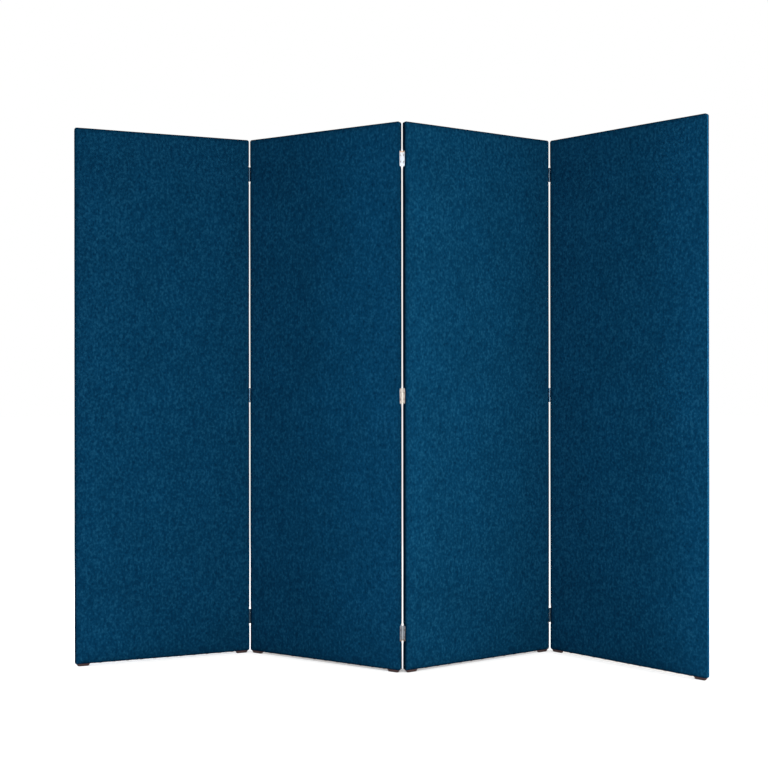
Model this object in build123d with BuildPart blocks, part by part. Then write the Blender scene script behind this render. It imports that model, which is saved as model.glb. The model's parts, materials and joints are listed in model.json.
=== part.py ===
from build123d import *
import os

# Folding room divider: four upholstered panels in a zigzag, hinged edge to edge, each on two small feet.
# Millimetres, +Z up. The front faces -Y and the row runs along X, from panel 1 at the left to panel 4.
# The origin is on the floor, under the middle of the box that the standing row fills.

# How the row stands. A fold's angle is how far it is bent from straight. Its hinges are on the panels'
# front side where the fold points away from the viewer, and on their back side where it points forward.
FRONT = 1
BACK = -1
hinge_sides = [FRONT, BACK, FRONT]
fold_angles = [47.8, 58.2, 72.3]
first_heading = 19.5

# Panel: the frame under a layer of wadding, in a fabric cover.
panel_width = 590.0
panel_height = 1792.0
frame_thickness = 12.0
frame_edge_radius = 0.5
frame_corner_radius = 4.5
wadding_thickness = 1.2
cover_thickness = 0.9
layer_gap = 0.1

# Frame: two stiles, and three rails whose stub tenons sit in the stiles' mortises.
stile_width = 45.0
rail_width = 45.0
tenon_length = 15.0
tenon_width = 30.0
tenon_thickness = 5.0
mortise_gap = 0.2
shoulder_gap = 0.1
core_gap = 0.3

# Turned-under bottom edges: the cover's two hems and the wadding stop short of the panel's centre line.
hem_opening = 4.0
wadding_opening = 9.0
hem_corner_length = 10.0

# Foot: a low block whose ends slope in towards the floor, screwed up into the stile.
foot_length = 46.0
foot_base_length = 34.0
foot_width = 13.0
foot_height = 8.0
foot_corner_radius = 4.0
foot_edge_radius = 1.5
foot_inset = 3.0
foot_screw_spacing = 20.0
foot_recess_depth = 3.5
foot_recess_radius = 3.2

# Hinge: a steel butt hinge on the panels' edges, its pin just outside their faces.
hinge_length = 50.0
leaf_thickness = 1.0
leaf_reach = 14.0
leaf_corner_radius = 2.0
pin_radius = 1.0
pin_gap = 0.05
pin_overhang = 0.5
pin_chamfer = 0.3
pin_offset = 1.0
knuckle_gap = 0.3
hinge_end_distance = 120.0
hinge_screw_spacing = 22.0

# Countersunk screw, the same in hinges and feet.
screw_length = 16.0
screw_radius = 1.5
screw_head_radius = 2.7
screw_tip_length = 4.0
screw_gap = 0.05
pilot_extra_depth = 1.0
driver_slot_length = 3.0
driver_slot_width = 0.8
driver_slot_depth = 0.8
countersink_angle = 90.0

# How far a cutting shape runs past the surface that it cuts.
cut_overrun = 5.0

# Worked out from the sizes above.
wadding_depth = cover_thickness + layer_gap
frame_depth = wadding_depth + wadding_thickness + layer_gap
panel_thickness = frame_thickness + 2 * frame_depth
cover_edge_radius = frame_edge_radius + frame_depth
cover_corner_radius = frame_corner_radius + frame_depth
barrel_radius = pin_radius + pin_gap + leaf_thickness
hinge_heights = [hinge_end_distance, panel_height / 2, panel_height - hinge_end_distance]

frame_width = panel_width - 2 * frame_depth
frame_bottom = frame_depth
frame_top = panel_height - frame_depth
opening_width = frame_width - 2 * stile_width
rail_heights = {
    "top_rail": frame_top - rail_width / 2,
    "middle_rail": panel_height / 2,
    "bottom_rail": frame_bottom + rail_width / 2,
}
foot_middle = panel_width / 2 - foot_inset - foot_length / 2
hem_opening_length = 2 * (foot_middle - foot_length / 2 - hem_corner_length)


def save(part, name):
    """Labels a finished piece and writes it under its name."""
    part.label = name
    export_step(part, f"parts/{name}.step")


def standing_plane(point, heading):
    """The plane at a point of the plan, level with the panels' undersides, with its X along the heading."""
    along = Vector(1, 0, 0).rotate(Axis.Z, heading)
    return Plane(origin=(point.X, point.Y, foot_height), x_dir=along, z_dir=(0, 0, 1))


def lay_out_row():
    """Places the panels from left to right, then centres the row on the origin.

    A panel's plane has its origin at the middle of the panel's underside, X along the panel, Y to its back.
    """
    heading = first_heading
    planes = [standing_plane(Vector(0, 0, 0), heading)]
    pins = []
    reach = panel_width / 2 + barrel_radius
    for side, angle in zip(hinge_sides, fold_angles):
        pin_back = -side * (panel_thickness / 2 + pin_offset)
        pin = planes[-1].from_local_coords(Vector(reach, pin_back, 0))
        heading -= side * angle
        middle = standing_plane(pin, heading).from_local_coords(Vector(reach, -pin_back, 0))
        pins.append(pin)
        planes.append(standing_plane(middle, heading))

    corners = [
        plane.from_local_coords(Vector(along * (panel_width / 2 - cover_edge_radius),
                                       back * (panel_thickness / 2 - cover_edge_radius), 0))
        for plane in planes
        for along in (-1, 1)
        for back in (-1, 1)
    ]
    xs = [corner.X for corner in corners]
    ys = [corner.Y for corner in corners]
    to_origin = Vector(-(min(xs) + max(xs)) / 2, -(min(ys) + max(ys)) / 2, 0)
    placed = [
        Plane(origin=plane.origin + to_origin, x_dir=plane.x_dir, z_dir=plane.z_dir) for plane in planes
    ]
    return placed, [pin + to_origin for pin in pins]


def panel_form(depth):
    """The panel's outer form, drawn in by depth on every side: its corners are rounded, then its edges."""
    with BuildPart(Plane.XY.offset(depth)) as form:
        Box(
            panel_width - 2 * depth,
            panel_thickness - 2 * depth,
            panel_height - 2 * depth,
            align=(Align.CENTER, Align.CENTER, Align.MIN),
        )
        fillet(form.edges().filter_by(Axis.Y), radius=cover_corner_radius - depth)
        front_and_back = form.faces().filter_by(Axis.Y)
        fillet(front_and_back.edges(), radius=cover_edge_radius - depth)
    return form.part


def edge_screws(side):
    """Places of the hinge screws in the panel's left (-1) or right (1) edge, each facing out of the edge."""
    return [
        Plane(
            origin=(side * (panel_width / 2 + leaf_thickness), 0, height + offset),
            z_dir=(side, 0, 0),
        )
        for height in hinge_heights
        for offset in (-hinge_screw_spacing / 2, hinge_screw_spacing / 2)
    ]


def foot_screws(side):
    """Places of the screws in the left (-1) or right (1) foot, each facing down out of its recess."""
    return [
        Plane(
            origin=(side * foot_middle + offset, 0, foot_recess_depth - foot_height),
            z_dir=(0, 0, -1),
        )
        for offset in (-foot_screw_spacing / 2, foot_screw_spacing / 2)
    ]


def cut_screw_holes(places):
    """Cuts a countersunk pilot hole for a screw at each place."""
    with Locations(*places):
        CounterSinkHole(
            radius=screw_radius + screw_gap,
            counter_sink_radius=screw_head_radius + screw_gap,
            depth=screw_length + pilot_extra_depth,
            counter_sink_angle=countersink_angle,
        )


def make_screw():
    """A countersunk wood screw that points down, with its head's flat face at the origin."""
    cone_height = screw_head_radius - screw_radius
    with BuildPart() as screw:
        with BuildSketch(Plane.XZ):
            with BuildLine():
                Polyline(
                    (0, 0),
                    (screw_head_radius, 0),
                    (screw_radius, -cone_height),
                    (screw_radius, screw_tip_length - screw_length),
                    (0, -screw_length),
                    close=True,
                )
            make_face()
        revolve(axis=Axis.Z)
        with Locations((0, 0, -driver_slot_depth / 2)):
            Box(driver_slot_length, driver_slot_width, driver_slot_depth, mode=Mode.SUBTRACT)
            Box(driver_slot_width, driver_slot_length, driver_slot_depth, mode=Mode.SUBTRACT)
    return screw.part


def make_foot_block():
    """A foot below the origin, lying along X, with a recess in its underside for each screw's head."""
    with BuildPart() as block:
        with BuildSketch(Plane.XZ):
            with BuildLine():
                Polyline(
                    (-foot_length / 2, 0),
                    (foot_length / 2, 0),
                    (foot_base_length / 2, -foot_height),
                    (-foot_base_length / 2, -foot_height),
                    close=True,
                )
            make_face()
        extrude(amount=foot_width / 2, both=True)
        sloping_edges = block.edges() - block.edges().filter_by(Axis.X) - block.edges().filter_by(Axis.Y)
        fillet(sloping_edges, radius=foot_corner_radius)
        fillet(block.faces().sort_by(Axis.Z)[0].edges(), radius=foot_edge_radius)
        with BuildSketch(Plane.XY.offset(-foot_height)):
            with Locations((-foot_screw_spacing / 2, 0), (foot_screw_spacing / 2, 0)):
                Circle(foot_recess_radius)
        extrude(amount=foot_recess_depth, mode=Mode.SUBTRACT)
    return block.part


def make_leaf(depth_side, has_middle_knuckle):
    """A hinge leaf on its pin's axis, with its panel at -X and its plate running to depth_side along Y.

    One leaf of a hinge carries the middle knuckle and the other the two outer ones.
    """
    pitch = (hinge_length + knuckle_gap) / 3
    knuckle_length = pitch - knuckle_gap
    middle = [(0, 0, 0)]
    outer = [(0, 0, -pitch), (0, 0, pitch)]
    own, other = (middle, outer) if has_middle_knuckle else (outer, middle)
    with BuildPart() as leaf:
        with Locations((leaf_thickness / 2 - barrel_radius, depth_side * leaf_reach / 2, 0)):
            Box(leaf_thickness, leaf_reach, hinge_length)
        free_corners = leaf.edges().filter_by(Axis.X).sort_by(Axis.Y)
        fillet(free_corners[-2:] if depth_side > 0 else free_corners[:2], radius=leaf_corner_radius)
        with Locations(*other):
            Cylinder(barrel_radius + knuckle_gap, knuckle_length + 2 * knuckle_gap, mode=Mode.SUBTRACT)
        with Locations(*own):
            Cylinder(barrel_radius, knuckle_length)
            Cylinder(pin_radius + pin_gap, knuckle_length, mode=Mode.SUBTRACT)
        screw_depth = depth_side * (pin_offset + panel_thickness / 2)
        cut_screw_holes([
            Plane(origin=(leaf_thickness - barrel_radius, screw_depth, offset), z_dir=(1, 0, 0))
            for offset in (-hinge_screw_spacing / 2, hinge_screw_spacing / 2)
        ])
    return leaf.part


def build_cover(plane, screws, name):
    """The fabric cover: a thin skin over the whole panel, turned under and open along the underside."""
    with BuildPart(plane) as cover:
        add(cover_outside)
        add(cover_inside, mode=Mode.SUBTRACT)
        with Locations((0, 0, cover_thickness / 2)):
            Box(hem_opening_length, hem_opening, cover_thickness + cut_overrun, mode=Mode.SUBTRACT)
        cut_screw_holes(screws)
    save(cover.part, name)


def build_wadding(plane, screws, name):
    """The wadding: a layer round the frame, open along the underside."""
    with BuildPart(plane) as wadding:
        add(wadding_outside)
        add(wadding_inside, mode=Mode.SUBTRACT)
        with Locations((0, 0, wadding_depth)):
            Box(hem_opening_length, wadding_opening, wadding_thickness + cut_overrun, mode=Mode.SUBTRACT)
        cut_screw_holes(screws)
    save(wadding.part, name)


def build_stile(plane, side, screws, name):
    """One upright of the frame, at the left (-1) or right (1), with a mortise for each rail."""
    with BuildPart(plane) as stile:
        add(frame_form)
        with Locations((side * (frame_width - stile_width) / 2, 0, panel_height / 2)):
            Box(stile_width, panel_thickness, panel_height, mode=Mode.INTERSECT)
        with Locations(*[(side * opening_width / 2, 0, height) for height in rail_heights.values()]):
            Box(
                2 * (tenon_length + mortise_gap),
                tenon_thickness + 2 * mortise_gap,
                tenon_width + 2 * mortise_gap,
                mode=Mode.SUBTRACT,
            )
        cut_screw_holes(screws)
    save(stile.part, name)


def build_rail(plane, height, screws, name):
    """One crosspiece of the frame, with a stub tenon at each end."""
    with BuildPart(plane) as rail:
        add(frame_form)
        with Locations((0, 0, height)):
            Box(opening_width - 2 * shoulder_gap, panel_thickness, rail_width, mode=Mode.INTERSECT)
            Box(opening_width + 2 * tenon_length, tenon_thickness, tenon_width)
        cut_screw_holes(screws)
    save(rail.part, name)


def build_core(plane, lower_rail, upper_rail, name):
    """A board that fills the frame's opening between two rails."""
    bottom = rail_heights[lower_rail] + rail_width / 2 + core_gap
    top = rail_heights[upper_rail] - rail_width / 2 - core_gap
    with BuildPart(plane) as core:
        with Locations((0, 0, (bottom + top) / 2)):
            Box(opening_width - 2 * core_gap, frame_thickness, top - bottom)
    save(core.part, name)


def build_foot(plane, side, name):
    """One foot, against the panel's underside, with holes for its screws."""
    with BuildPart(plane) as foot:
        with Locations((side * foot_middle, 0, 0)):
            add(foot_block)
        cut_screw_holes(foot_screws(side))
    save(foot.part, name)


def build_screws(plane, places, name):
    """All the screws that are driven into one panel."""
    with BuildPart(plane) as screws:
        with Locations(*places):
            add(screw)
    save(screws.part, name)


def build_leaves(pin, panel_plane, outward, side, name):
    """The hinge leaves on one panel's edge at a fold. Outward is 1 on its right edge and -1 on its left."""
    leaf = make_leaf(outward * side, has_middle_knuckle=outward < 0)
    places = [
        Plane(
            origin=(pin.X, pin.Y, foot_height + height),
            x_dir=panel_plane.x_dir * outward,
            z_dir=(0, 0, 1),
        )
        for height in hinge_heights
    ]
    with BuildPart() as leaves:
        with Locations(*places):
            add(leaf)
    save(leaves.part, name)


def build_pins(pin, name):
    """The pins of one fold's hinges, their ends just proud of the barrels."""
    with BuildPart() as pins:
        with Locations(*[(pin.X, pin.Y, foot_height + height) for height in hinge_heights]):
            Cylinder(pin_radius, hinge_length + 2 * pin_overhang)
        chamfer(pins.edges().filter_by(GeomType.CIRCLE), length=pin_chamfer)
    save(pins.part, name)


def build_panel(number, plane, hinged_edges):
    """One panel with its feet and screws. The edges that carry hinges are given as -1 and 1."""
    name = f"panel_{number}"
    left_screws = foot_screws(-1) + (edge_screws(-1) if -1 in hinged_edges else [])
    right_screws = foot_screws(1) + (edge_screws(1) if 1 in hinged_edges else [])
    all_screws = left_screws + right_screws
    build_cover(plane, all_screws, f"{name}_fabric_cover")
    build_wadding(plane, all_screws, f"{name}_wadding")
    build_stile(plane, -1, left_screws, f"{name}_left_stile")
    build_stile(plane, 1, right_screws, f"{name}_right_stile")
    for rail, height in rail_heights.items():
        build_rail(plane, height, all_screws, f"{name}_{rail}")
    build_core(plane, "middle_rail", "top_rail", f"{name}_upper_core")
    build_core(plane, "bottom_rail", "middle_rail", f"{name}_lower_core")
    build_foot(plane, -1, f"{name}_left_foot")
    build_foot(plane, 1, f"{name}_right_foot")
    build_screws(plane, all_screws, f"{name}_screws")


def build_fold(number, pin, left_plane, right_plane, side):
    """One fold: the leaves on the panels to its left and right, and the pins."""
    name = f"fold_{number}"
    build_leaves(pin, left_plane, 1, side, f"{name}_left_leaves")
    build_leaves(pin, right_plane, -1, side, f"{name}_right_leaves")
    build_pins(pin, f"{name}_pins")


os.makedirs("parts", exist_ok=True)
cover_outside = panel_form(0)
cover_inside = panel_form(cover_thickness)
wadding_outside = panel_form(wadding_depth)
wadding_inside = panel_form(wadding_depth + wadding_thickness)
frame_form = panel_form(frame_depth)
foot_block = make_foot_block()
screw = make_screw()

panel_planes, fold_pins = lay_out_row()
panel_count = len(panel_planes)
for index, plane in enumerate(panel_planes):
    edges = [-1] * (index > 0) + [1] * (index < panel_count - 1)
    build_panel(index + 1, plane, edges)
    print(f"panel {index + 1} middle", plane.origin, "along", plane.x_dir)
for index, pin in enumerate(fold_pins):
    build_fold(index + 1, pin, panel_planes[index], panel_planes[index + 1], hinge_sides[index])
    print(f"fold {index + 1} pin", pin)
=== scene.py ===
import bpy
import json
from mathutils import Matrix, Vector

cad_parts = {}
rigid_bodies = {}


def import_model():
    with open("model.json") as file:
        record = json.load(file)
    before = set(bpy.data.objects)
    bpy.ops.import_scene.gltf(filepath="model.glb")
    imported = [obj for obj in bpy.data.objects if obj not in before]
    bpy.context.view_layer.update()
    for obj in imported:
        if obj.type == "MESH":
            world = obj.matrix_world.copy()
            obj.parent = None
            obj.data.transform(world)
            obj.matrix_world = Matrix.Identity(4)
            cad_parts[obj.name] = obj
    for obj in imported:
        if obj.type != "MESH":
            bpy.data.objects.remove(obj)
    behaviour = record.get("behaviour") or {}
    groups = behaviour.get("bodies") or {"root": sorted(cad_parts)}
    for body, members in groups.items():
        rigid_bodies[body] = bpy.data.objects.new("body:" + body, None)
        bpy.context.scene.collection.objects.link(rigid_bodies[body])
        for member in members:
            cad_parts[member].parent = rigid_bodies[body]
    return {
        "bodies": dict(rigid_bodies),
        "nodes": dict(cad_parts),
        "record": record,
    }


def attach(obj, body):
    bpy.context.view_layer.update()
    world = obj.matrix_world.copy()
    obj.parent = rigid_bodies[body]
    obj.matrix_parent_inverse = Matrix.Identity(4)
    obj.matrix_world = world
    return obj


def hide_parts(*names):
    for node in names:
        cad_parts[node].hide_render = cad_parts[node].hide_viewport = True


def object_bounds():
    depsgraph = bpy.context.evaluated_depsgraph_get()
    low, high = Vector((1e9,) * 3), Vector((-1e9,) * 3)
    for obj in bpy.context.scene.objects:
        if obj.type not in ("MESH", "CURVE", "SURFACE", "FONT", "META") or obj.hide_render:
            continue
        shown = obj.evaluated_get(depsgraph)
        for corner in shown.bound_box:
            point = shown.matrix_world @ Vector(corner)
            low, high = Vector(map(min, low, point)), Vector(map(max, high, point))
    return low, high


bl_info = {
    "name": "Folding Room Divider",
    "version": (1, 0, 0),
    "blender": (4, 5, 0),
    "location": "View3D > Sidebar > Room Divider",
    "description": "Dresses a folding room divider and sets the stage for its picture",
    "category": "Object",
}

import json
import math

import bpy
import numpy as np
from bpy.props import FloatProperty, FloatVectorProperty, IntProperty, PointerProperty
from mathutils import Matrix, Vector, noise

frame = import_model()
cad_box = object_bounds()

BODIES = sorted(frame["bodies"])
PLACES = {mount["name"]: Vector(mount["pos_m"]) for mount in frame["record"]["mounts"]}
NODES_OF = frame["record"]["behaviour"]["bodies"]
UP = Vector((0, 0, 1))

# Forms. Lengths are in metres here as everywhere.
PIECE_GAP = 0.1  # hinge leaves, and feet, stand further apart than this
STEP_GROWTH = 1.22  # each mesh step away from an edge is this much wider than the last
RIM_STEPS = 5  # mesh steps in the quarter turn over a panel's edge
HEM_SHOULDER = 2.3  # where the flat underside begins beside the hem slit, in half slits
RIPPLE_RISE = 0.6  # how fast the ripples change up a panel, as a share of along it
RIPPLE_DEPTH = 9  # parts the front's ripples from the back's
RIPPLE_SEED_STEP = 7.3  # parts one panel's ripples from the next one's
SWELL_WANDER = 0.3  # unevenness of the swell, as a share of it
LEVEL_SWELL = 0.5  # swell of the top and underside, as a share of the upright edges'
PRESSED_REACH = 4  # edge radii over which the cloth rises again beside a leaf or foot
STAPLE_TURN = 0.12  # most that a staple stands askew, in radians
# Painted shade along the covers' edges is carried by the attribute below.
PAINTED_SHADE_ATTRIBUTE = "painted_edge_shade"  # the covers' attribute that says how much edge colour they take
USUAL_NOISE = (0.3, 0.7)  # nearly all of a noise texture's values lie between these

# The stage.
WHITE = (1.0, 1.0, 1.0, 1.0)
EVEN_LIGHT = (0.98, 0.99, 1.02, 1.0)
FLOOR_PAINT = (0.28, 0.28, 0.28, 1.0)
FLOOR_SIDES = 64
CONTACT_SIDE = (0.0, -0.88, 0.47)  # front and up, so that the contact dark lies behind the panels
SENSOR_WIDTH = 36.0  # millimetres
# Each lamp's degrees round from the front, height, watts and colour.
LAMPS = {
    "front_right_softbox": (30, 1.1, 35.0, (1.0, 0.98, 0.94)),
    "front_left_softbox": (-35, 1.1, 14.0, (0.88, 0.93, 1.0)),
    "right_softbox": (75, 1.1, 30.0, (1.0, 0.98, 0.94)),
    "right_side_softbox": (92, 0.95, 125.0, (1.0, 0.98, 0.95)),
    "left_side_softbox": (-99, 1.1, 178.0, (0.85, 0.92, 1.0)),
    "back_softbox": (180, 1.1, 30.0, (1.0, 1.0, 1.0)),
}


def linear(red, green, blue):
    """A display colour, 0 to 255 a channel, as the linear colour that Blender's sockets take."""
    shares = [value / 255 for value in (red, green, blue)]
    return tuple(s / 12.92 if s <= 0.04045 else ((s + 0.055) / 1.055) ** 2.4 for s in shares)


def opaque(colour):
    """A colour with its alpha, as colour sockets take it."""
    return (*colour, 1.0)


def toned(colour, share):
    """An opaque colour, each channel times a share (one number or three) and 1 at most."""
    shares = np.broadcast_to(share, 3)
    return opaque([min(1.0, value * part) for value, part in zip(colour, shares)])


class DividerCover(bpy.types.PropertyGroup):
    """Sizes and colours of the padded covers, and the shade painted along their edges."""

    edge_radius: FloatProperty(
        name="Edge radius", description="Rounding between a panel's faces and its narrow edges",
        default=0.0022, min=0.001, unit="LENGTH")
    corner_radius: FloatProperty(
        name="Corner radius", description="Rounding of a panel's four corners, seen from the front",
        default=0.0068, min=0.003, unit="LENGTH")
    crown: FloatProperty(
        name="Crown", description="How far the padding lifts each face above its border",
        default=0.0021, min=0.0, unit="LENGTH")
    crown_reach: FloatProperty(
        name="Crown reach",
        description="Distance from an edge over which most of the crown is reached",
        default=0.011, min=0.001, unit="LENGTH")
    border_draw: FloatProperty(
        name="Border draw",
        description="How far the stretched cloth draws each face in at its border",
        default=0.0013, min=0.0, unit="LENGTH")
    swell: FloatProperty(
        name="Swell", description="How far the narrow edges stand out between hinges and feet",
        default=0.0013, min=0.0, unit="LENGTH")
    swell_reach: FloatProperty(
        name="Swell reach",
        description="Distance from an edge over which its swell fades on the faces",
        default=0.02, min=0.001, unit="LENGTH")
    ripple: FloatProperty(
        name="Ripple", description="Height of the slow unevenness of the stretched cloth",
        default=0.00015, min=0.0, unit="LENGTH")
    ripple_length: FloatProperty(
        name="Ripple length", description="Distance over which the unevenness comes and goes",
        default=0.16, min=0.01, unit="LENGTH")
    finest_step: FloatProperty(
        name="Finest step", description="Mesh spacing beside the edges",
        default=0.0013, min=0.0005, unit="LENGTH")
    widest_step: FloatProperty(
        name="Widest step", description="Mesh spacing in the middle of a face",
        default=0.012, min=0.002, unit="LENGTH")
    hem_opening: FloatProperty(
        name="Hem opening", description="Width of the slit between the two hems under a panel",
        default=0.004, min=0.001, unit="LENGTH")
    hem_depth: FloatProperty(
        name="Hem depth", description="Depth of that slit, just past the cover and its padding",
        default=0.0024, min=0.0005, unit="LENGTH")
    hem_end_distance: FloatProperty(
        name="Hem end distance", description="Closed length between the slit and each foot",
        default=0.010, min=0.001, unit="LENGTH")
    body_colour: FloatVectorProperty(
        name="Body colour", description="The cloth's main colour",
        default=linear(9, 62, 95), subtype="COLOR")
    dark_colour: FloatVectorProperty(
        name="Dark fibres", description="Colour of the darkest fibres in the heather",
        default=linear(1, 23, 53), subtype="COLOR")
    light_colour: FloatVectorProperty(
        name="Light fibres", description="Colour of the lightest fibres in the heather",
        default=linear(32, 96, 130), subtype="COLOR")
    # Painted shade: the covers take a near-black colour where the cloth turns over their edges, in
    # the grooves at the folds and as a faint border on the faces. It is stronger on the left edges
    # and weaker on the front of the right edges, which light from the right falls on.
    painted_shade_colour: FloatVectorProperty(
        name="Edge colour",
        description="Near-black that the covers take at their edges, as the photograph's outline",
        default=linear(1, 8, 20), subtype="COLOR")
    turn_painted_shade: FloatProperty(
        name="Edge share", description="Share of that colour where the cloth turns over the edges",
        default=0.88, min=0.0, max=1.0, subtype="FACTOR")
    left_edge_share: FloatProperty(
        name="Left edge share",
        description="Share of that colour along the middle of the left edge",
        default=0.6, min=0.0, max=1.0, subtype="FACTOR")
    # Painted highlight: the front of the right edges keeps little of the painted shade, as lit from
    # the right.
    right_edge_share: FloatProperty(
        name="Right edge share",
        description="Share of that colour at the front of the right edge, lighter in the photo",
        default=0.12, min=0.0, max=1.0, subtype="FACTOR")
    flat_edge_share: FloatProperty(
        name="Flat edge share",
        description="Share of that colour along the middle of the top and underside",
        default=0.25, min=0.0, max=1.0, subtype="FACTOR")
    edge_fade: FloatProperty(
        name="Edge fade",
        description="Distance over which the edge colour fades where the cloth turns over",
        default=0.0033, min=0.0005, unit="LENGTH")
    # Painted shade on the faces beside the edges.
    border_painted_shade: FloatProperty(
        name="Border share", description="Share of that colour beside the edges, on the faces",
        default=0.14, min=0.0, max=1.0, subtype="FACTOR")
    border_fade: FloatProperty(
        name="Border fade",
        description="Distance over which the border share fades towards the middle of a face",
        default=0.014, min=0.0005, unit="LENGTH")
    fibre_size: FloatProperty(
        name="Fibre size", description="Width of the heather's spots",
        default=0.0062, min=0.001, unit="LENGTH")
    thread_spacing: FloatProperty(
        name="Thread spacing", description="Distance between two threads of the weave",
        default=0.0011, min=0.0003, unit="LENGTH")


class DividerMetal(bpy.types.PropertyGroup):
    """Looks of the hinges, screws and staples, with painted shade and painted reflections on the
    hinges.
    """

    bright_colour: FloatVectorProperty(
        name="Bright plating", description="Colour of the middle fold's plated hinges",
        default=linear(240, 244, 249), subtype="COLOR")
    # Painted shade and a painted reflection of the blue cloth: the outer folds' hinges are the same
    # steel, darkened and tinted blue.
    dark_colour: FloatVectorProperty(
        name="Dark plating",
        description="Colour of the outer two folds' hinges, which look darker in the photo",
        default=linear(92, 118, 138), subtype="COLOR")
    screw_colour: FloatVectorProperty(
        name="Screw plating", description="Colour of the screws",
        default=linear(150, 138, 126), subtype="COLOR")
    # A warm tint that the plating takes at the hinges' outermost ends.
    outer_end_tint: FloatVectorProperty(
        name="Yellow tint", description="Tint of the plating at the outermost ends of the hinges",
        default=linear(255, 200, 130), subtype="COLOR")
    # Painted reflection: a warm grey tint at half height on the middle fold's hinges.
    middle_reflection_tint: FloatVectorProperty(
        name="Middle tint",
        description="Tint of the bright plating at half height, as it looks in the photo",
        default=linear(221, 213, 204), subtype="COLOR")
    # Painted shade: the hinges are darkened towards the lowest, where less light falls.
    shaded_lowest_brightness: FloatProperty(
        name="Low brightness",
        description="How bright the lowest hinges are, as a share of the highest ones",
        default=0.55, min=0.0, max=1.0, subtype="FACTOR")
    roughness: FloatProperty(
        name="Roughness", description="Middle roughness of the plated steel",
        default=0.34, min=0.0, max=1.0, subtype="FACTOR")
    grain_length: FloatProperty(
        name="Grain length", description="Length of the fine brushed lines",
        default=0.012, min=0.001, unit="LENGTH")


class DividerTimber(bpy.types.PropertyGroup):
    """Colours of the feet and the inner frames."""

    foot_colour: FloatVectorProperty(
        name="Foot colour", description="Dark red-brown of the feet",
        default=linear(54, 24, 22), subtype="COLOR")
    pine_colour: FloatVectorProperty(
        name="Pine colour", description="Colour of the planed frame timber",
        default=linear(208, 170, 118), subtype="COLOR")
    board_colour: FloatVectorProperty(
        name="Board colour", description="Colour of the fibre board inside the frame",
        default=linear(170, 142, 106), subtype="COLOR")


class DividerStaples(bpy.types.PropertyGroup):
    """Sizes and places of the staples under the panels."""

    spacing: FloatProperty(
        name="Staple spacing", description="Distance between staples along a hem",
        default=0.045, min=0.01, unit="LENGTH")
    crown_width: FloatProperty(
        name="Staple width", description="Length of a staple's visible bar",
        default=0.010, min=0.002, unit="LENGTH")
    wire: FloatProperty(
        name="Staple wire", description="Thickness of the staple wire",
        default=0.0006, min=0.0002, unit="LENGTH")
    edge_distance: FloatProperty(
        name="Staple edge distance",
        description="Distance of the staples from the panel's centre line",
        default=0.0046, min=0.001, unit="LENGTH")
    seed: IntProperty(
        name="Staple seed", description="Seed of the staples' small turns", default=11)


class DividerStage(bpy.types.PropertyGroup):
    """The camera, the floor and the light."""

    camera_place: FloatVectorProperty(
        name="Camera place",
        description="Where the photograph was taken from, by a fit to the panels' corners",
        default=(0.0017, -3.7014, 0.9424), subtype="TRANSLATION", unit="LENGTH")
    camera_pitch: FloatProperty(
        name="Camera pitch", description="Upward tilt of the camera",
        default=math.radians(0.01), subtype="ANGLE", unit="ROTATION")
    camera_roll: FloatProperty(
        name="Camera roll", description="Turn of the camera about its view",
        default=math.radians(-0.06), subtype="ANGLE", unit="ROTATION")
    focal_pixels: FloatProperty(
        name="Focal length in pixels",
        description="Focal length in pixels of the square photograph",
        default=1103.7, min=1.0)
    photo_pixels: FloatProperty(
        name="Photograph width", description="Width of the photograph in pixels",
        default=768.0, min=1.0)
    floor_radius: FloatProperty(
        name="Floor radius", description="Radius of the pale floor",
        default=30.0, min=1.0, unit="LENGTH")
    ambient: FloatProperty(
        name="Ambient light", description="Strength of the even light from all round",
        default=0.3, min=0.0)
    floor_lift: FloatProperty(
        name="Floor lift",
        description="Light added to the floor as the camera sees it, to keep it white",
        default=0.93, min=0.0)
    lamp_distance: FloatProperty(
        name="Lamp distance", description="Distance of the lamps from the middle of the row",
        default=2.7, min=1.0, unit="LENGTH")
    lamp_width: FloatProperty(
        name="Lamp width", description="Diameter of each round soft lamp",
        default=1.3, min=0.1, unit="LENGTH")
    contact_reach: FloatProperty(
        name="Contact shadow reach",
        description="How far the dark under the panels spreads on the floor",
        default=0.05, min=0.001, unit="LENGTH")
    contact_power: FloatProperty(
        name="Contact shadow power",
        description="Depth of the dark under the panels: a higher power is darker",
        default=1.5, min=0.1)


def panel_place(body):
    """A panel's own frame: X along it, Y to its back and Z up, from the floor below its middle."""
    left = PLACES[f"{body}_left_foot_rest"]
    right = PLACES[f"{body}_right_foot_rest"]
    along = (right - left).normalized()
    place = Matrix((along, UP.cross(along), UP)).transposed().to_4x4()
    place.translation = (left + right) / 2
    return place


def points_in(node, place):
    """A CAD node's points in a panel's own frame, one row a point."""
    inverse = place.inverted()
    return np.array([inverse @ vertex.co for vertex in frame["nodes"][node].data.vertices])


def spans(values):
    """The stretches that a set of numbers covers, split where more than PIECE_GAP lies between."""
    ordered = np.sort(values)
    breaks = np.flatnonzero(np.diff(ordered) > PIECE_GAP)
    starts = ordered[np.r_[0, breaks + 1]]
    ends = ordered[np.r_[breaks, len(ordered) - 1]]
    return list(zip(starts, ends))


def stations(low, high, finest, widest):
    """Positions from low to high, close together at both ends and wider apart in the middle."""
    middle = (low + high) / 2
    first_half = [low]
    step = finest
    while first_half[-1] + step < middle:
        first_half.append(first_half[-1] + step)
        step = min(step * STEP_GROWTH, widest)
    if middle - first_half[-1] < step / 4:  # no sliver in the middle
        first_half.pop()
    second_half = [low + high - value for value in reversed(first_half)]
    return np.array(first_half + second_half)


def smooth_step(value, start, end):
    """0 before start and 1 past end, with a smooth rise between them."""
    share = np.clip((value - start) / (end - start), 0, 1)
    return share * share * (3 - 2 * share)


def between(first, second, share):
    """The value that lies the given share of the way from the first to the second."""
    return first * (1 - share) + second * share


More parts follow.
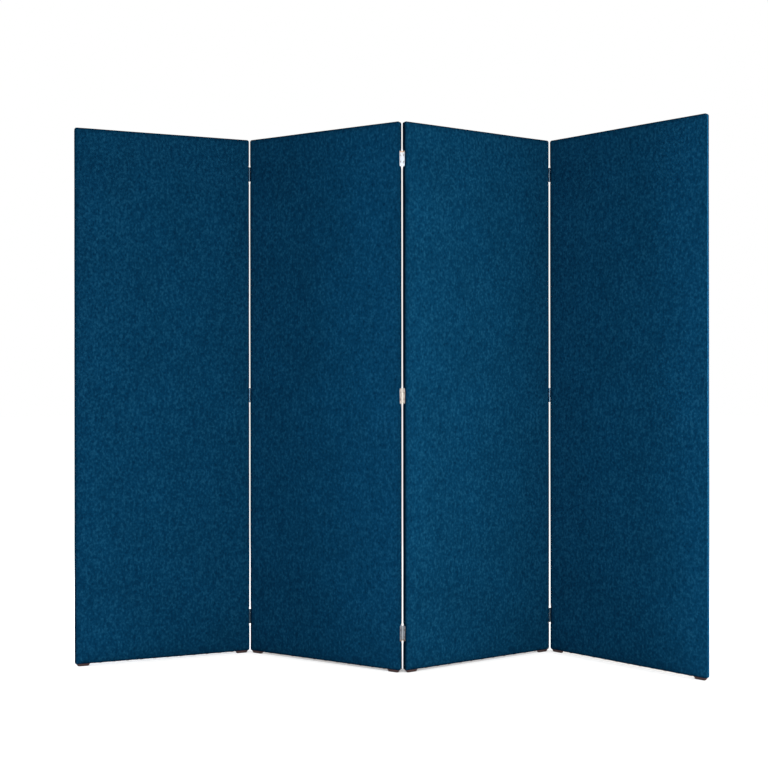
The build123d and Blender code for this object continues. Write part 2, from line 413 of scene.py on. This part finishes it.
def wander(values, length, seed):
    """A smooth uneven line in -1 to 1, sampled at values, that changes over about the length."""
    off_lattice = 0.5  # the noise is 0 at whole numbers
    return np.array([noise.noise(Vector((value / length, seed, off_lattice))) for value in values])


def in_scene(name, data):
    """A new object that holds the data, in the scene's collection."""
    made = bpy.data.objects.new(name, data)
    bpy.context.scene.collection.objects.link(made)
    return made


class CoverShape:
    """The outer form of one upholstered panel, in the panel's own frame.

    Each face is a grid, and rings round the rim join the two grids' borders.
    """

    def __init__(self, body, sizes):
        self.body = body
        self.sizes = sizes
        self.place = panel_place(body)
        cover = points_in(f"{body}_fabric_cover", self.place)
        self.low = cover.min(axis=0)
        self.high = cover.max(axis=0)
        self.seed = BODIES.index(body) * RIPPLE_SEED_STEP
        self.leaves = {1: [], -1: []}
        for node in NODES_OF[body]:
            if node.endswith("_leaves"):
                leaf = points_in(node, self.place)
                side = 1 if leaf[:, 0].mean() > 0 else -1
                self.leaves[side] = spans(leaf[:, 2])
        self.feet = [spans(points_in(f"{body}_{side}_foot", self.place)[:, 0])[0]
                     for side in ("left", "right")]
        self.hem_half_length = self.feet[1][0] - sizes.hem_end_distance

    def make(self):
        """Builds the mesh and returns its object, standing in its place."""
        crisp, faces = self.base_form()
        name = f"{self.body}_upholstery"
        mesh = bpy.data.meshes.new(name)
        mesh.from_pydata(self.soften(crisp).tolist(), [], faces)
        mesh.shade_smooth()
        shade = mesh.attributes.new(PAINTED_SHADE_ATTRIBUTE, "FLOAT", "POINT")
        shade.data.foreach_set("value", self.painted_edge_shade(crisp))
        piece = in_scene(name, mesh)
        piece.matrix_world = self.place
        return piece

    def gaps(self, points):
        """The points' distances from the panel's four sides."""
        x, z = points[:, 0], points[:, 2]
        return {
            "left": x - self.low[0], "right": self.high[0] - x,
            "under": z - self.low[2], "top": self.high[2] - z,
        }

    def painted_edge_shade(self, crisp):
        """How much of the painted edge shade each point of the crisp form takes."""
        sizes = self.sizes
        gaps = self.gaps(crisp)
        turned = smooth_step(self.high[1] - np.abs(crisp[:, 1]), 0, 2 * sizes.edge_radius)
        behind = smooth_step(crisp[:, 1], 0, self.high[1])
        shares = {
            "left": between(sizes.turn_painted_shade, sizes.left_edge_share, turned),
            "right": between(sizes.right_edge_share, sizes.turn_painted_shade, behind),
            "under": between(sizes.turn_painted_shade, sizes.flat_edge_share, turned),
            "top": between(sizes.turn_painted_shade, sizes.flat_edge_share, turned),
        }
        faded = [shares[name] * np.exp(-gap / sizes.edge_fade) for name, gap in gaps.items()]
        nearest = np.min(list(gaps.values()), axis=0)
        border = sizes.border_painted_shade * np.exp(-nearest / sizes.border_fade)
        return np.max(faded, axis=0) + border

    def base_form(self):
        """The crisp form: its points and faces."""
        sizes = self.sizes
        radius = sizes.edge_radius
        corner = sizes.corner_radius - radius
        steps = sizes.finest_step, sizes.widest_step
        xs = stations(self.low[0] + radius, self.high[0] - radius, *steps)
        zs = stations(self.low[2] + radius, self.high[2] - radius, *steps)
        grid = np.array([self.round_corner(x, z, xs, zs, corner) for z in zs for x in xs])
        columns, rows = len(xs), len(zs)
        border = (
            list(range(columns))
            + [j * columns + columns - 1 for j in range(1, rows)]
            + [(rows - 1) * columns + i for i in range(columns - 2, -1, -1)]
            + [j * columns for j in range(rows - 2, 0, -1)]
        )
        outward = np.array([self.outward(grid[k], xs, zs, corner) for k in border])

        front, back = self.low[1], self.high[1]
        turn = np.radians(np.linspace(0, 90, RIM_STEPS + 1))[1:]
        rim = [(radius * math.sin(a), radius * (1 - math.cos(a))) for a in turn]
        slit = sizes.hem_opening / 2
        wall = sizes.finest_step / 8  # half the width of the slit's steep sides
        shoulder = HEM_SHOULDER * slit
        flat = [(radius, y) for y in
                (-shoulder, -slit - wall, -slit + wall, slit - wall, slit + wall, shoulder)]
        rings = (
            [(out, front + inward) for out, inward in rim]
            + flat
            + [(out, back - inward) for out, inward in reversed(rim)]
        )
        points = [np.column_stack([grid[:, 0], np.full(len(grid), front), grid[:, 1]])]
        for out, y in rings:
            ring = grid[border] + outward * out
            points.append(np.column_stack([ring[:, 0], np.full(len(ring), y), ring[:, 1]]))
        points.append(np.column_stack([grid[:, 0], np.full(len(grid), back), grid[:, 1]]))

        faces = []
        back_start = len(grid) + len(rings) * len(border)
        for j in range(rows - 1):
            for i in range(columns - 1):
                a = j * columns + i
                quad = [a, a + 1, a + 1 + columns, a + columns]
                faces.append(quad)
                faces.append([back_start + k for k in reversed(quad)])
        loops = [border]
        for start in range(len(grid), back_start, len(border)):
            loops.append(list(range(start, start + len(border))))
        loops.append([back_start + k for k in border])
        for near, far in zip(loops, loops[1:]):
            for k in range(len(border)):
                after = (k + 1) % len(border)
                faces.append([near[k], far[k], far[after], near[after]])
        return np.concatenate(points), faces

    def corner_centre(self, x, z, xs, zs, corner):
        """The centre of the corner arc whose square holds the point, or None elsewhere."""
        middle_x, middle_z = (xs[0] + xs[-1]) / 2, (zs[0] + zs[-1]) / 2
        centre_x = xs[-1] - corner if x > middle_x else xs[0] + corner
        centre_z = zs[-1] - corner if z > middle_z else zs[0] + corner
        beyond_x = (x - centre_x) * math.copysign(1, x - middle_x) > 0
        beyond_z = (z - centre_z) * math.copysign(1, z - middle_z) > 0
        return (centre_x, centre_z) if beyond_x and beyond_z else None

    def round_corner(self, x, z, xs, zs, corner):
        """A grid point with the square corners of its grid pulled onto their arcs."""
        centre = self.corner_centre(x, z, xs, zs, corner)
        if centre is None:
            return x, z
        dx, dz = x - centre[0], z - centre[1]
        pull = max(abs(dx), abs(dz)) / math.hypot(dx, dz)
        return centre[0] + dx * pull, centre[1] + dz * pull

    def outward(self, point, xs, zs, corner):
        """The direction in the panel's plane in which the rim leaves the face at a border point."""
        x, z = point
        centre = self.corner_centre(x, z, xs, zs, corner)
        if centre is not None:
            away = np.array([x - centre[0], z - centre[1]])
            return away / np.linalg.norm(away)
        gaps = [x - xs[0], xs[-1] - x, z - zs[0], zs[-1] - z]
        return np.array([(-1, 0), (1, 0), (0, -1), (0, 1)][int(np.argmin(gaps))], float)

    def soften(self, points):
        """The crisp form with the give of padding and cloth, pressed flat at hinges and feet."""
        sizes = self.sizes
        x, y, z = points.T.copy()
        gaps = self.gaps(points)
        side = np.sign(y) * smooth_step(np.abs(y), self.high[1] - sizes.edge_radius, self.high[1])
        places = np.column_stack([x, z * RIPPLE_RISE, y * RIPPLE_DEPTH + self.seed])
        uneven = np.array([noise.noise(Vector(place) / sizes.ripple_length) for place in places])
        rise = np.ones(len(points))
        for gap in gaps.values():
            rise = rise * (1 - np.exp(-np.maximum(gap - sizes.edge_radius, 0) / sizes.crown_reach))
        y = y + side * (rise * (sizes.crown + sizes.ripple * uneven) - sizes.border_draw)

        for direction, name in ((-1, "left"), (1, "right")):
            stand = self.stand(z, 1, direction, self.leaves[direction])
            x = x + direction * stand * (1 - smooth_step(gaps[name], 0, sizes.swell_reach))
        for direction, name, feet in ((-1, "under", self.feet), (1, "top", [])):
            stand = self.stand(x, LEVEL_SWELL, 3 * direction, feet)
            z = z + direction * stand * (1 - smooth_step(gaps[name], 0, sizes.swell_reach))

        under = points[:, 2] < self.low[2] + sizes.hem_depth / 8  # the flat underside alone
        slit = under & (np.abs(points[:, 1]) < sizes.hem_opening / 2)
        slope_start = self.hem_half_length - sizes.hem_opening
        open_share = 1 - smooth_step(np.abs(points[:, 0]), slope_start, self.hem_half_length)
        z = z + np.where(slit, sizes.hem_depth * open_share, 0)
        return np.column_stack([x, y, z])

    def stand(self, along, share, seed, contacts):
        """How far a narrow edge stands out: a share of the swell, uneven, and 0 at the contacts."""
        sizes = self.sizes
        uneven = SWELL_WANDER * wander(along, sizes.ripple_length, self.seed + seed)
        stand = sizes.swell * (share + uneven)
        for low, high in contacts:
            stand = stand * (1 - self.pressed(along, low, high))
        return stand

    def pressed(self, values, low, high):
        """1 where a hinge leaf or foot lies on the cloth, fading out beside it."""
        give = PRESSED_REACH * self.sizes.edge_radius
        return smooth_step(values, low - give, low) * (1 - smooth_step(values, high, high + give))


class Nodes:
    """A node tree being made, emptied first, with short ways to add nodes and patterns."""

    def __init__(self, tree):
        self.tree = tree
        self.tree.nodes.clear()

    def add(self, kind, inputs=None, **settings):
        """Adds a node, makes its settings, and sets or links its inputs."""
        node = self.tree.nodes.new("ShaderNode" + kind)
        for name, value in settings.items():
            setattr(node, name, value)
        self.feed(node, inputs or {})
        return node

    def feed(self, node, inputs):
        """Sets each named or numbered input of a node, or links it where the value is a socket."""
        for name, value in inputs.items():
            if isinstance(value, bpy.types.NodeSocket):
                self.tree.links.new(value, node.inputs[name])
            else:
                node.inputs[name].default_value = value

    def math(self, operation, *values):
        """The result of a math node."""
        return self.add("Math", dict(enumerate(values)), operation=operation).outputs[0]

    def scaled(self, colour, share):
        """A colour times a number or a number's socket."""
        node = self.add("VectorMath", {0: colour, "Scale": share}, operation="SCALE")
        return node.outputs[0]

    def seen_share(self):
        """1 for the rays that see the background: the camera's, and those in metal or glass."""
        path = self.add("LightPath").outputs
        mirrored = self.math("MAXIMUM", path["Is Glossy Ray"], path["Is Transmission Ray"])
        return self.math("MAXIMUM", path["Is Camera Ray"], mirrored)


class Finish(Nodes):
    """A material being made: one principled shader, fed by patterns in the object's own metres."""

    def __init__(self, name):
        self.material = bpy.data.materials.new(name)
        self.material.use_nodes = True
        super().__init__(self.material.node_tree)
        self.shader = self.add("BsdfPrincipled")
        self.add("OutputMaterial", {"Surface": self.shader.outputs["BSDF"]})
        self.object_point = self.add("TexCoord").outputs["Object"]

    def ramp(self, value, low, high, to_low=0.0, to_high=1.0):
        """A value mapped from one range to another, held at the ends."""
        inputs = {"Value": value, "From Min": low, "From Max": high,
                  "To Min": to_low, "To Max": to_high}
        return self.add("MapRange", inputs).outputs["Result"]

    def varied(self, pattern, to_low, to_high):
        """A noise pattern's usual range, mapped to the given one."""
        return self.ramp(pattern, *USUAL_NOISE, to_low, to_high)

    def mixed(self, share, first, second, blend="MIX"):
        """One colour mixed into another."""
        node = self.add("Mix", {0: share, 6: first, 7: second}, data_type="RGBA", blend_type=blend)
        return node.outputs[2]

    def speckle(self, size, detail=2.0, roughness=0.5, offset=0.0):
        """Noise whose spots have the given size in metres along X, Y and Z.

        An offset parts one pattern from another.
        """
        scale = tuple(1 / length for length in size)
        point = self.add("VectorMath", {0: self.object_point, 1: scale}, operation="MULTIPLY")
        point = self.add("VectorMath", {0: point.outputs[0], 1: (offset,) * 3}, operation="ADD")
        inputs = {"Vector": point.outputs[0], "Scale": 1.0,
                  "Detail": detail, "Roughness": roughness}
        return self.add("TexNoise", inputs).outputs["Fac"]

    def bump(self, height, distance, strength):
        """A normal that follows a height pattern whose full swing is the distance in metres."""
        inputs = {"Height": height, "Distance": distance, "Strength": strength}
        return self.add("Bump", inputs).outputs["Normal"]

    def set(self, **inputs):
        """Sets or links the shader's inputs. An underscore stands for a space."""
        self.feed(self.shader, {name.replace("_", " "): value for name, value in inputs.items()})


def heathered_cloth(cover):
    """Thick heathered cloth: dark and light fibres in a blue ground, over a fine plain weave, with
    painted shade along the edges.
    """
    cloth = Finish("heathered_blue_cloth")
    x_y_z = cloth.add("SeparateXYZ", {0: cloth.object_point})
    across = cloth.math("ADD", x_y_z.outputs["X"], x_y_z.outputs["Y"])

    size = cover.fibre_size
    spot_size, streak_size = (size, size, 1.3 * size), (0.9 * size, 0.9 * size, 4 * size)
    fibres = cloth.speckle(spot_size)
    streaks = cloth.speckle(streak_size, detail=1.0, offset=31.0)
    fibre_weight, streak_weight = 0.78, 0.22
    tone = cloth.math("ADD", cloth.math("MULTIPLY", fibres, fibre_weight),
                      cloth.math("MULTIPLY", streaks, streak_weight))
    patches = cloth.speckle((0.11, 0.11, 0.16), offset=7.0)
    drift = cloth.varied(patches, 0.93, 1.07)

    heather = cloth.add("ValToRGB", {0: tone})
    stops = heather.color_ramp.elements
    stops.new(0.5)
    colours = (cover.dark_colour, cover.body_colour, cover.light_colour)
    for stop, position, colour in zip(stops, (0.1, 0.5, 0.9), colours):
        stop.position = position
        stop.color = opaque(colour)
    drifted = cloth.scaled(heather.outputs["Color"], drift)
    # Painted shade: the near-black that the covers take along their edges.
    edge = cloth.add("Attribute", attribute_name=PAINTED_SHADE_ATTRIBUTE).outputs["Fac"]
    colour = cloth.mixed(edge, drifted, opaque(cover.painted_shade_colour))

    turn = 2 * math.pi / cover.thread_spacing
    warp = cloth.math("SINE", cloth.math("MULTIPLY", across, turn))
    weft = cloth.math("SINE", cloth.math("MULTIPLY", x_y_z.outputs["Z"], turn))
    weave = cloth.math("MULTIPLY", warp, weft)
    fuzz = cloth.speckle((0.0016, 0.0016, 0.0024), offset=3.0)
    weave_height, fuzz_height = 0.25, 1.2
    height = cloth.math("ADD", cloth.math("MULTIPLY", weave, weave_height),
                        cloth.math("MULTIPLY", fuzz, fuzz_height))
    cloth.set(
        Base_Color=colour,
        Roughness=cloth.varied(fuzz, 0.88, 1.0),
        Specular_IOR_Level=0.0,
        Sheen_Weight=0.03,
        Sheen_Roughness=0.45,
        Sheen_Tint=opaque(cover.light_colour),
        Normal=cloth.bump(height, distance=0.0003, strength=0.5),
    )
    return cloth.material


def plated_steel(metal, name, plating, middle_reflection_tint=(1.0, 1.0, 1.0)):
    """Plated steel with fine upright brushing and faint stains.

    It is darker on the lowest hinge, a painted shade, and takes a painted reflection tint
    on the middle one; it is warm at the outermost ends.
    """
    steel = Finish(name)
    lines = steel.speckle((0.0004, 0.0004, metal.grain_length), detail=3.0)
    stains = steel.speckle((0.006, 0.006, 0.009), detail=3.0, offset=5.0)
    dull = toned(plating, 0.72)
    colour = steel.mixed(steel.ramp(stains, 0.45, 0.75, to_high=0.5), opaque(plating), dull)

    height = steel.add("SeparateXYZ", {0: steel.object_point}).outputs["Z"]
    lowest, pitch, half_length = hinge_heights()
    from_centre = steel.math("ABSOLUTE", steel.math("SUBTRACT", height, lowest + pitch))
    outer_end = pitch + half_length
    warm = steel.ramp(from_centre, pitch + 0.8 * half_length, outer_end, to_high=0.8)
    colour = steel.mixed(warm, colour, opaque(metal.outer_end_tint), blend="MULTIPLY")
    # painted reflection tint at half height
    middle = steel.ramp(from_centre, 0.4 * pitch, 0.6 * pitch, to_low=1.0, to_high=0.0)
    colour = steel.mixed(middle, colour, opaque(middle_reflection_tint), blend="MULTIPLY")
    # painted shade: darker towards the lowest hinge
    brightness = steel.ramp(height, lowest, lowest + pitch, to_low=metal.shaded_lowest_brightness)
    colour = steel.scaled(colour, brightness)
    smooth, rough, brushed = metal.roughness - 0.05, metal.roughness + 0.1, 0.06
    roughness = steel.math("ADD", steel.varied(lines, -brushed, brushed),
                           steel.varied(stains, smooth, rough))
    steel.set(
        Base_Color=colour,
        Metallic=1.0,
        Roughness=roughness,
        Normal=steel.bump(lines, distance=0.00002, strength=0.6),
    )
    return steel.material


def stained_foot(timber):
    """Dark red-brown moulded foot with a faint grain and rubbed, lighter spots."""
    foot = Finish("dark_brown_foot")
    grain = foot.speckle((0.0012, 0.0012, 0.0008), detail=3.0, roughness=0.6)
    rubbed = foot.speckle((0.006, 0.006, 0.003), offset=9.0)
    base = opaque(timber.foot_colour)
    dark = toned(timber.foot_colour, 0.45)
    light = toned(timber.foot_colour, 2.2)
    colour = foot.mixed(foot.ramp(grain, 0.35, 0.65), dark, base)
    colour = foot.mixed(foot.ramp(rubbed, 0.56, 0.74, to_high=0.6), colour, light)
    foot.set(
        Base_Color=colour,
        Roughness=foot.ramp(rubbed, 0.35, 0.7, to_low=0.34, to_high=0.55),
        Specular_IOR_Level=0.4,
        Normal=foot.bump(grain, distance=0.00005, strength=0.5),
    )
    return foot.material


def planed_pine(timber, name, upright):
    """Planed softwood whose grain runs up a stile or along a rail."""
    pine = Finish(name)
    ring_length, ring_width = 0.14, 0.0035
    pore_length, pore_width = 0.02, 0.0008
    if upright:
        rings = pine.speckle((ring_width, ring_width, ring_length), detail=4.0)
        pores = pine.speckle((pore_width, pore_width, pore_length), offset=4.0)
    else:
        rings = pine.speckle((ring_length, ring_length, ring_width), detail=4.0)
        pores = pine.speckle((pore_length, pore_length, pore_width), offset=4.0)
    light = opaque(timber.pine_colour)
    dark = toned(timber.pine_colour, (0.62, 0.5, 0.38))
    colour = pine.mixed(pine.ramp(rings, 0.42, 0.62), light, dark)
    colour = pine.mixed(pine.ramp(pores, 0.6, 0.75, to_high=0.35), colour, dark)
    pine.set(
        Base_Color=colour,
        Roughness=pine.varied(rings, 0.55, 0.72),
        Normal=pine.bump(pores, distance=0.0001, strength=0.4),
    )
    return pine.material


def fibre_board(timber):
    """Pressed fibre board: tan, matted, with paler and darker fibres."""
    board = Finish("fibre_board")
    mat = board.speckle((0.002, 0.002, 0.004), detail=4.0, roughness=0.7)
    light = toned(timber.board_colour, 1.3)
    dark = toned(timber.board_colour, 0.6)
    board.set(
        Base_Color=board.mixed(board.ramp(mat, 0.35, 0.65), dark, light),
        Roughness=board.varied(mat, 0.8, 0.95),
        Normal=board.bump(mat, distance=0.0003, strength=0.5),
    )
    return board.material


def hinge_heights():
    """The lowest hinge's middle height, the height between two hinges and half a hinge's length."""
    levels = spans(points_in("fold_1_left_leaves", Matrix())[:, 2])
    lowest, second = ((low + high) / 2 for low, high in levels[:2])
    bottom, top = levels[0]
    return lowest, second - lowest, (top - bottom) / 2


def nodes_ending(*endings):
    """The names of the CAD nodes that have one of the endings."""
    return [name for name in frame["nodes"] if name.endswith(endings)]


def finish_nodes(material, names):
    """Gives a material to the CAD nodes with the given names."""
    if not names:
        raise RuntimeError(f"the frame has no piece for {material.name}")
    for name in names:
        mesh = frame["nodes"][name].data
        mesh.materials.clear()
        mesh.materials.append(material)


class DIVIDER_OT_upholster_panels(bpy.types.Operator):
    """Makes the padded cloth cover of each panel and puts it in its place"""

    bl_idname = "divider.upholster_panels"
    bl_label = "Upholster panels"

    def execute(self, context):
        cover = context.scene.divider_cover
        cloth = heathered_cloth(cover)
        for body in BODIES:
            piece = CoverShape(body, cover).make()
            piece.data.materials.append(cloth)
            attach(piece, body)
            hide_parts(f"{body}_fabric_cover", f"{body}_wadding")
        return {"FINISHED"}


class DIVIDER_OT_staple_hems(bpy.types.Operator):
    """Sets the wire staples that hold the hems under each panel"""

    bl_idname = "divider.staple_hems"
    bl_label = "Staple hems"

    def execute(self, context):
        staples = context.scene.divider_staples
        cover = context.scene.divider_cover
        metal = context.scene.divider_metal
        steel = plated_steel(metal, "staple_wire", metal.screw_colour)
        draw = np.random.default_rng(staples.seed)
        for body in BODIES:
            shape = CoverShape(body, cover)
            height = shape.low[2] - cover.swell
            starts = np.arange(-shape.hem_half_length, shape.hem_half_length, staples.spacing)
            points, faces = [], []
            for side in (-1, 1):
                for x in starts + staples.spacing / 2:
                    middle = Vector((x, side * staples.edge_distance, height))
                    turn = draw.uniform(-STAPLE_TURN, STAPLE_TURN)
                    self.add_staple(points, faces, staples, middle, turn)
            name = f"{body}_hem_staples"
            mesh = bpy.data.meshes.new(name)
            mesh.from_pydata(points, [], faces)
            mesh.materials.append(steel)
            mesh.shade_smooth()
            piece = in_scene(name, mesh)
            piece.matrix_world = shape.place
            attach(piece, body)
        return {"FINISHED"}

    def add_staple(self, points, faces, staples, middle, turn):
        """Adds one staple: a square wire's bar, with both ends bent up into the cloth."""
        half_bar, half_wire = staples.crown_width / 2, staples.wire / 2
        leg = 3 * half_wire
        inset = half_bar - half_wire
        line = [(-half_bar, leg), (-half_bar, 0), (-inset, -half_wire),
                (inset, -half_wire), (half_bar, 0), (half_bar, leg)]
        corners = [(-half_wire, -half_wire), (half_wire, -half_wire),
                   (half_wire, half_wire), (-half_wire, half_wire)]
        first = len(points)
        for along, up in line:
            for side, lift in corners:
                flat_x = along * math.cos(turn) - side * math.sin(turn)
                flat_y = along * math.sin(turn) + side * math.cos(turn)
                points.append((middle.x + flat_x, middle.y + flat_y, middle.z + up + lift))
        ring = len(corners)
        last = first + ring * (len(line) - 1)
        for near in range(first, last, ring):
            far = near + ring
            for c in range(ring):
                d = (c + 1) % ring
                faces.append([near + c, near + d, far + d, far + c])
        faces.append([first + c for c in reversed(range(ring))])
        faces.append([last + c for c in range(ring)])


class DIVIDER_OT_finish_hinges(bpy.types.Operator):
    """Gives the hinge leaves, their pins and the screws their plated steel, the outer folds' hinges
    as a darker copy with painted shade
    """

    bl_idname = "divider.finish_hinges"
    bl_label = "Finish hinges"

    def execute(self, context):
        metal = context.scene.divider_metal
        hinges = nodes_ending("_leaves", "_pins")
        middle_fold = [name for name in hinges if name.startswith("fold_2")]
        outer_folds = [name for name in hinges if name not in middle_fold]
        bright = plated_steel(metal, "bright_hinge_steel", metal.bright_colour, metal.middle_reflection_tint)
        # the outer folds' hinges: the same steel with painted shade and a painted reflection of the
        # blue cloth
        dark = plated_steel(metal, "shaded_hinge_steel", metal.dark_colour)
        screws = plated_steel(metal, "screw_steel", metal.screw_colour)
        finish_nodes(bright, middle_fold)
        finish_nodes(dark, outer_folds)
        finish_nodes(screws, nodes_ending("_screws"))
        return {"FINISHED"}


class DIVIDER_OT_finish_feet(bpy.types.Operator):
    """Gives the feet their dark red-brown finish"""

    bl_idname = "divider.finish_feet"
    bl_label = "Finish feet"

    def execute(self, context):
        finish_nodes(stained_foot(context.scene.divider_timber), nodes_ending("_foot"))
        return {"FINISHED"}


class DIVIDER_OT_finish_frames(bpy.types.Operator):
    """Gives the hidden stiles, rails and boards their timber and fibre"""

    bl_idname = "divider.finish_frames"
    bl_label = "Finish inner frames"

    def execute(self, context):
        timber = context.scene.divider_timber
        finish_nodes(planed_pine(timber, "pine_stile", upright=True), nodes_ending("_stile"))
        finish_nodes(planed_pine(timber, "pine_rail", upright=False), nodes_ending("_rail"))
        finish_nodes(fibre_board(timber), nodes_ending("_core"))
        return {"FINISHED"}


class DIVIDER_OT_set_stage(bpy.types.Operator):
    """Sets the pale floor, the soft light and the photograph's camera"""

    bl_idname = "divider.set_stage"
    bl_label = "Set stage"

    def execute(self, context):
        stage = context.scene.divider_stage
        self.lay_floor(stage)
        self.light(context, stage)
        self.place_camera(context, stage)
        context.scene.view_settings.view_transform = "Standard"
        return {"FINISHED"}

    def lay_floor(self, stage):
        """A round floor of pale matt paint that the camera sees as white, apart from shadows."""
        radius = stage.floor_radius
        points = [(0, 0, 0)]
        for k in range(FLOOR_SIDES):
            turn = 2 * math.pi * k / FLOOR_SIDES
            points.append((radius * math.cos(turn), radius * math.sin(turn), 0))
        faces = [(0, k + 1, (k + 1) % FLOOR_SIDES + 1) for k in range(FLOOR_SIDES)]
        mesh = bpy.data.meshes.new("pale_floor")
        mesh.from_pydata(points, [], faces)
        floor = in_scene("pale_floor", mesh)

        material = bpy.data.materials.new("pale_floor")
        material.use_nodes = True
        nodes = Nodes(material.node_tree)
        paint = nodes.add("BsdfDiffuse", {"Color": FLOOR_PAINT})
        side = nodes.add("CombineXYZ", dict(zip("XYZ", CONTACT_SIDE)))
        inputs = {"Distance": stage.contact_reach, "Normal": side.outputs[0]}
        contact = nodes.add("AmbientOcclusion", inputs)
        openness = nodes.math("POWER", contact.outputs["AO"], stage.contact_power)
        strength = nodes.math("MULTIPLY", nodes.seen_share(), stage.floor_lift)
        lift = nodes.add("Emission", {"Strength": nodes.math("MULTIPLY", strength, openness)})
        both = nodes.add("AddShader", {0: paint.outputs[0], 1: lift.outputs[0]})
        nodes.add("OutputMaterial", {"Surface": both.outputs[0]})
        mesh.materials.append(material)

    def light(self, context, stage):
        """Even light from all round, white where it is seen, and large soft lamps all round."""
        world = bpy.data.worlds.new("pale_room")
        world.use_nodes = True
        nodes = Nodes(world.node_tree)
        even = nodes.add("Background", {"Color": EVEN_LIGHT, "Strength": stage.ambient})
        white = nodes.add("Background", {"Color": WHITE})
        inputs = {0: nodes.seen_share(), 1: even.outputs[0], 2: white.outputs[0]}
        choice = nodes.add("MixShader", inputs)
        nodes.add("OutputWorld", {"Surface": choice.outputs[0]})
        context.scene.world = world

        target = UP * (cad_box[0][2] + cad_box[1][2]) / 2
        for name, (turn, height, power, colour) in LAMPS.items():
            angle = math.radians(turn)
            towards = Vector((math.sin(angle), -math.cos(angle), 0))
            place = towards * stage.lamp_distance + UP * height
            data = bpy.data.lights.new(name, "AREA")
            data.shape = "DISK"
            data.size = stage.lamp_width
            data.energy = power
            data.color = colour
            lamp = in_scene(name, data)
            lamp.location = place
            lamp.rotation_euler = (target - place).to_track_quat("-Z", "Y").to_euler()

    def place_camera(self, context, stage):
        """The camera that took the photograph, level with the middle of the panels."""
        data = bpy.data.cameras.new("photo_camera")
        data.sensor_width = SENSOR_WIDTH
        data.lens = stage.focal_pixels * data.sensor_width / stage.photo_pixels
        camera = in_scene("photo_camera", data)
        camera.location = stage.camera_place
        tilt = Matrix.Rotation(math.pi / 2 + stage.camera_pitch, 4, "X")
        roll = Matrix.Rotation(stage.camera_roll, 4, "Z")
        camera.rotation_euler = (tilt @ roll).to_euler()
        context.scene.camera = camera


class DIVIDER_PT_sidebar(bpy.types.Panel):
    """Lists the steps that dress the room divider"""

    bl_idname = "DIVIDER_PT_sidebar"
    bl_label = "Room Divider"
    bl_space_type = "VIEW_3D"
    bl_region_type = "UI"
    bl_category = "Room Divider"

    def draw(self, context):
        for operator in OPERATORS:
            self.layout.operator(operator.bl_idname)
        for name in GROUPS:
            box = self.layout.box()
            settings = getattr(context.scene, name)
            for key in settings.bl_rna.properties.keys():
                if key not in ("rna_type", "name"):
                    box.prop(settings, key)


GROUPS = {
    "divider_cover": DividerCover,
    "divider_metal": DividerMetal,
    "divider_timber": DividerTimber,
    "divider_staples": DividerStaples,
    "divider_stage": DividerStage,
}
OPERATORS = [
    DIVIDER_OT_set_stage,
    DIVIDER_OT_upholster_panels,
    DIVIDER_OT_staple_hems,
    DIVIDER_OT_finish_hinges,
    DIVIDER_OT_finish_feet,
    DIVIDER_OT_finish_frames,
]


def register():
    """Registers the settings, the operators and the sidebar panel."""
    for name, group in GROUPS.items():
        bpy.utils.register_class(group)
        setattr(bpy.types.Scene, name, PointerProperty(type=group))
    for operator in OPERATORS:
        bpy.utils.register_class(operator)
    bpy.utils.register_class(DIVIDER_PT_sidebar)


def unregister():
    """Takes all of it back."""
    bpy.utils.unregister_class(DIVIDER_PT_sidebar)
    for operator in reversed(OPERATORS):
        bpy.utils.unregister_class(operator)
    for name, group in GROUPS.items():
        delattr(bpy.types.Scene, name)
        bpy.utils.unregister_class(group)


def main():
    """Dresses the room divider step by step."""
    register()
    bpy.ops.divider.set_stage()
    bpy.ops.divider.upholster_panels()
    bpy.ops.divider.staple_hems()
    bpy.ops.divider.finish_hinges()
    bpy.ops.divider.finish_feet()
    bpy.ops.divider.finish_frames()


if __name__ == "__main__":
    main()
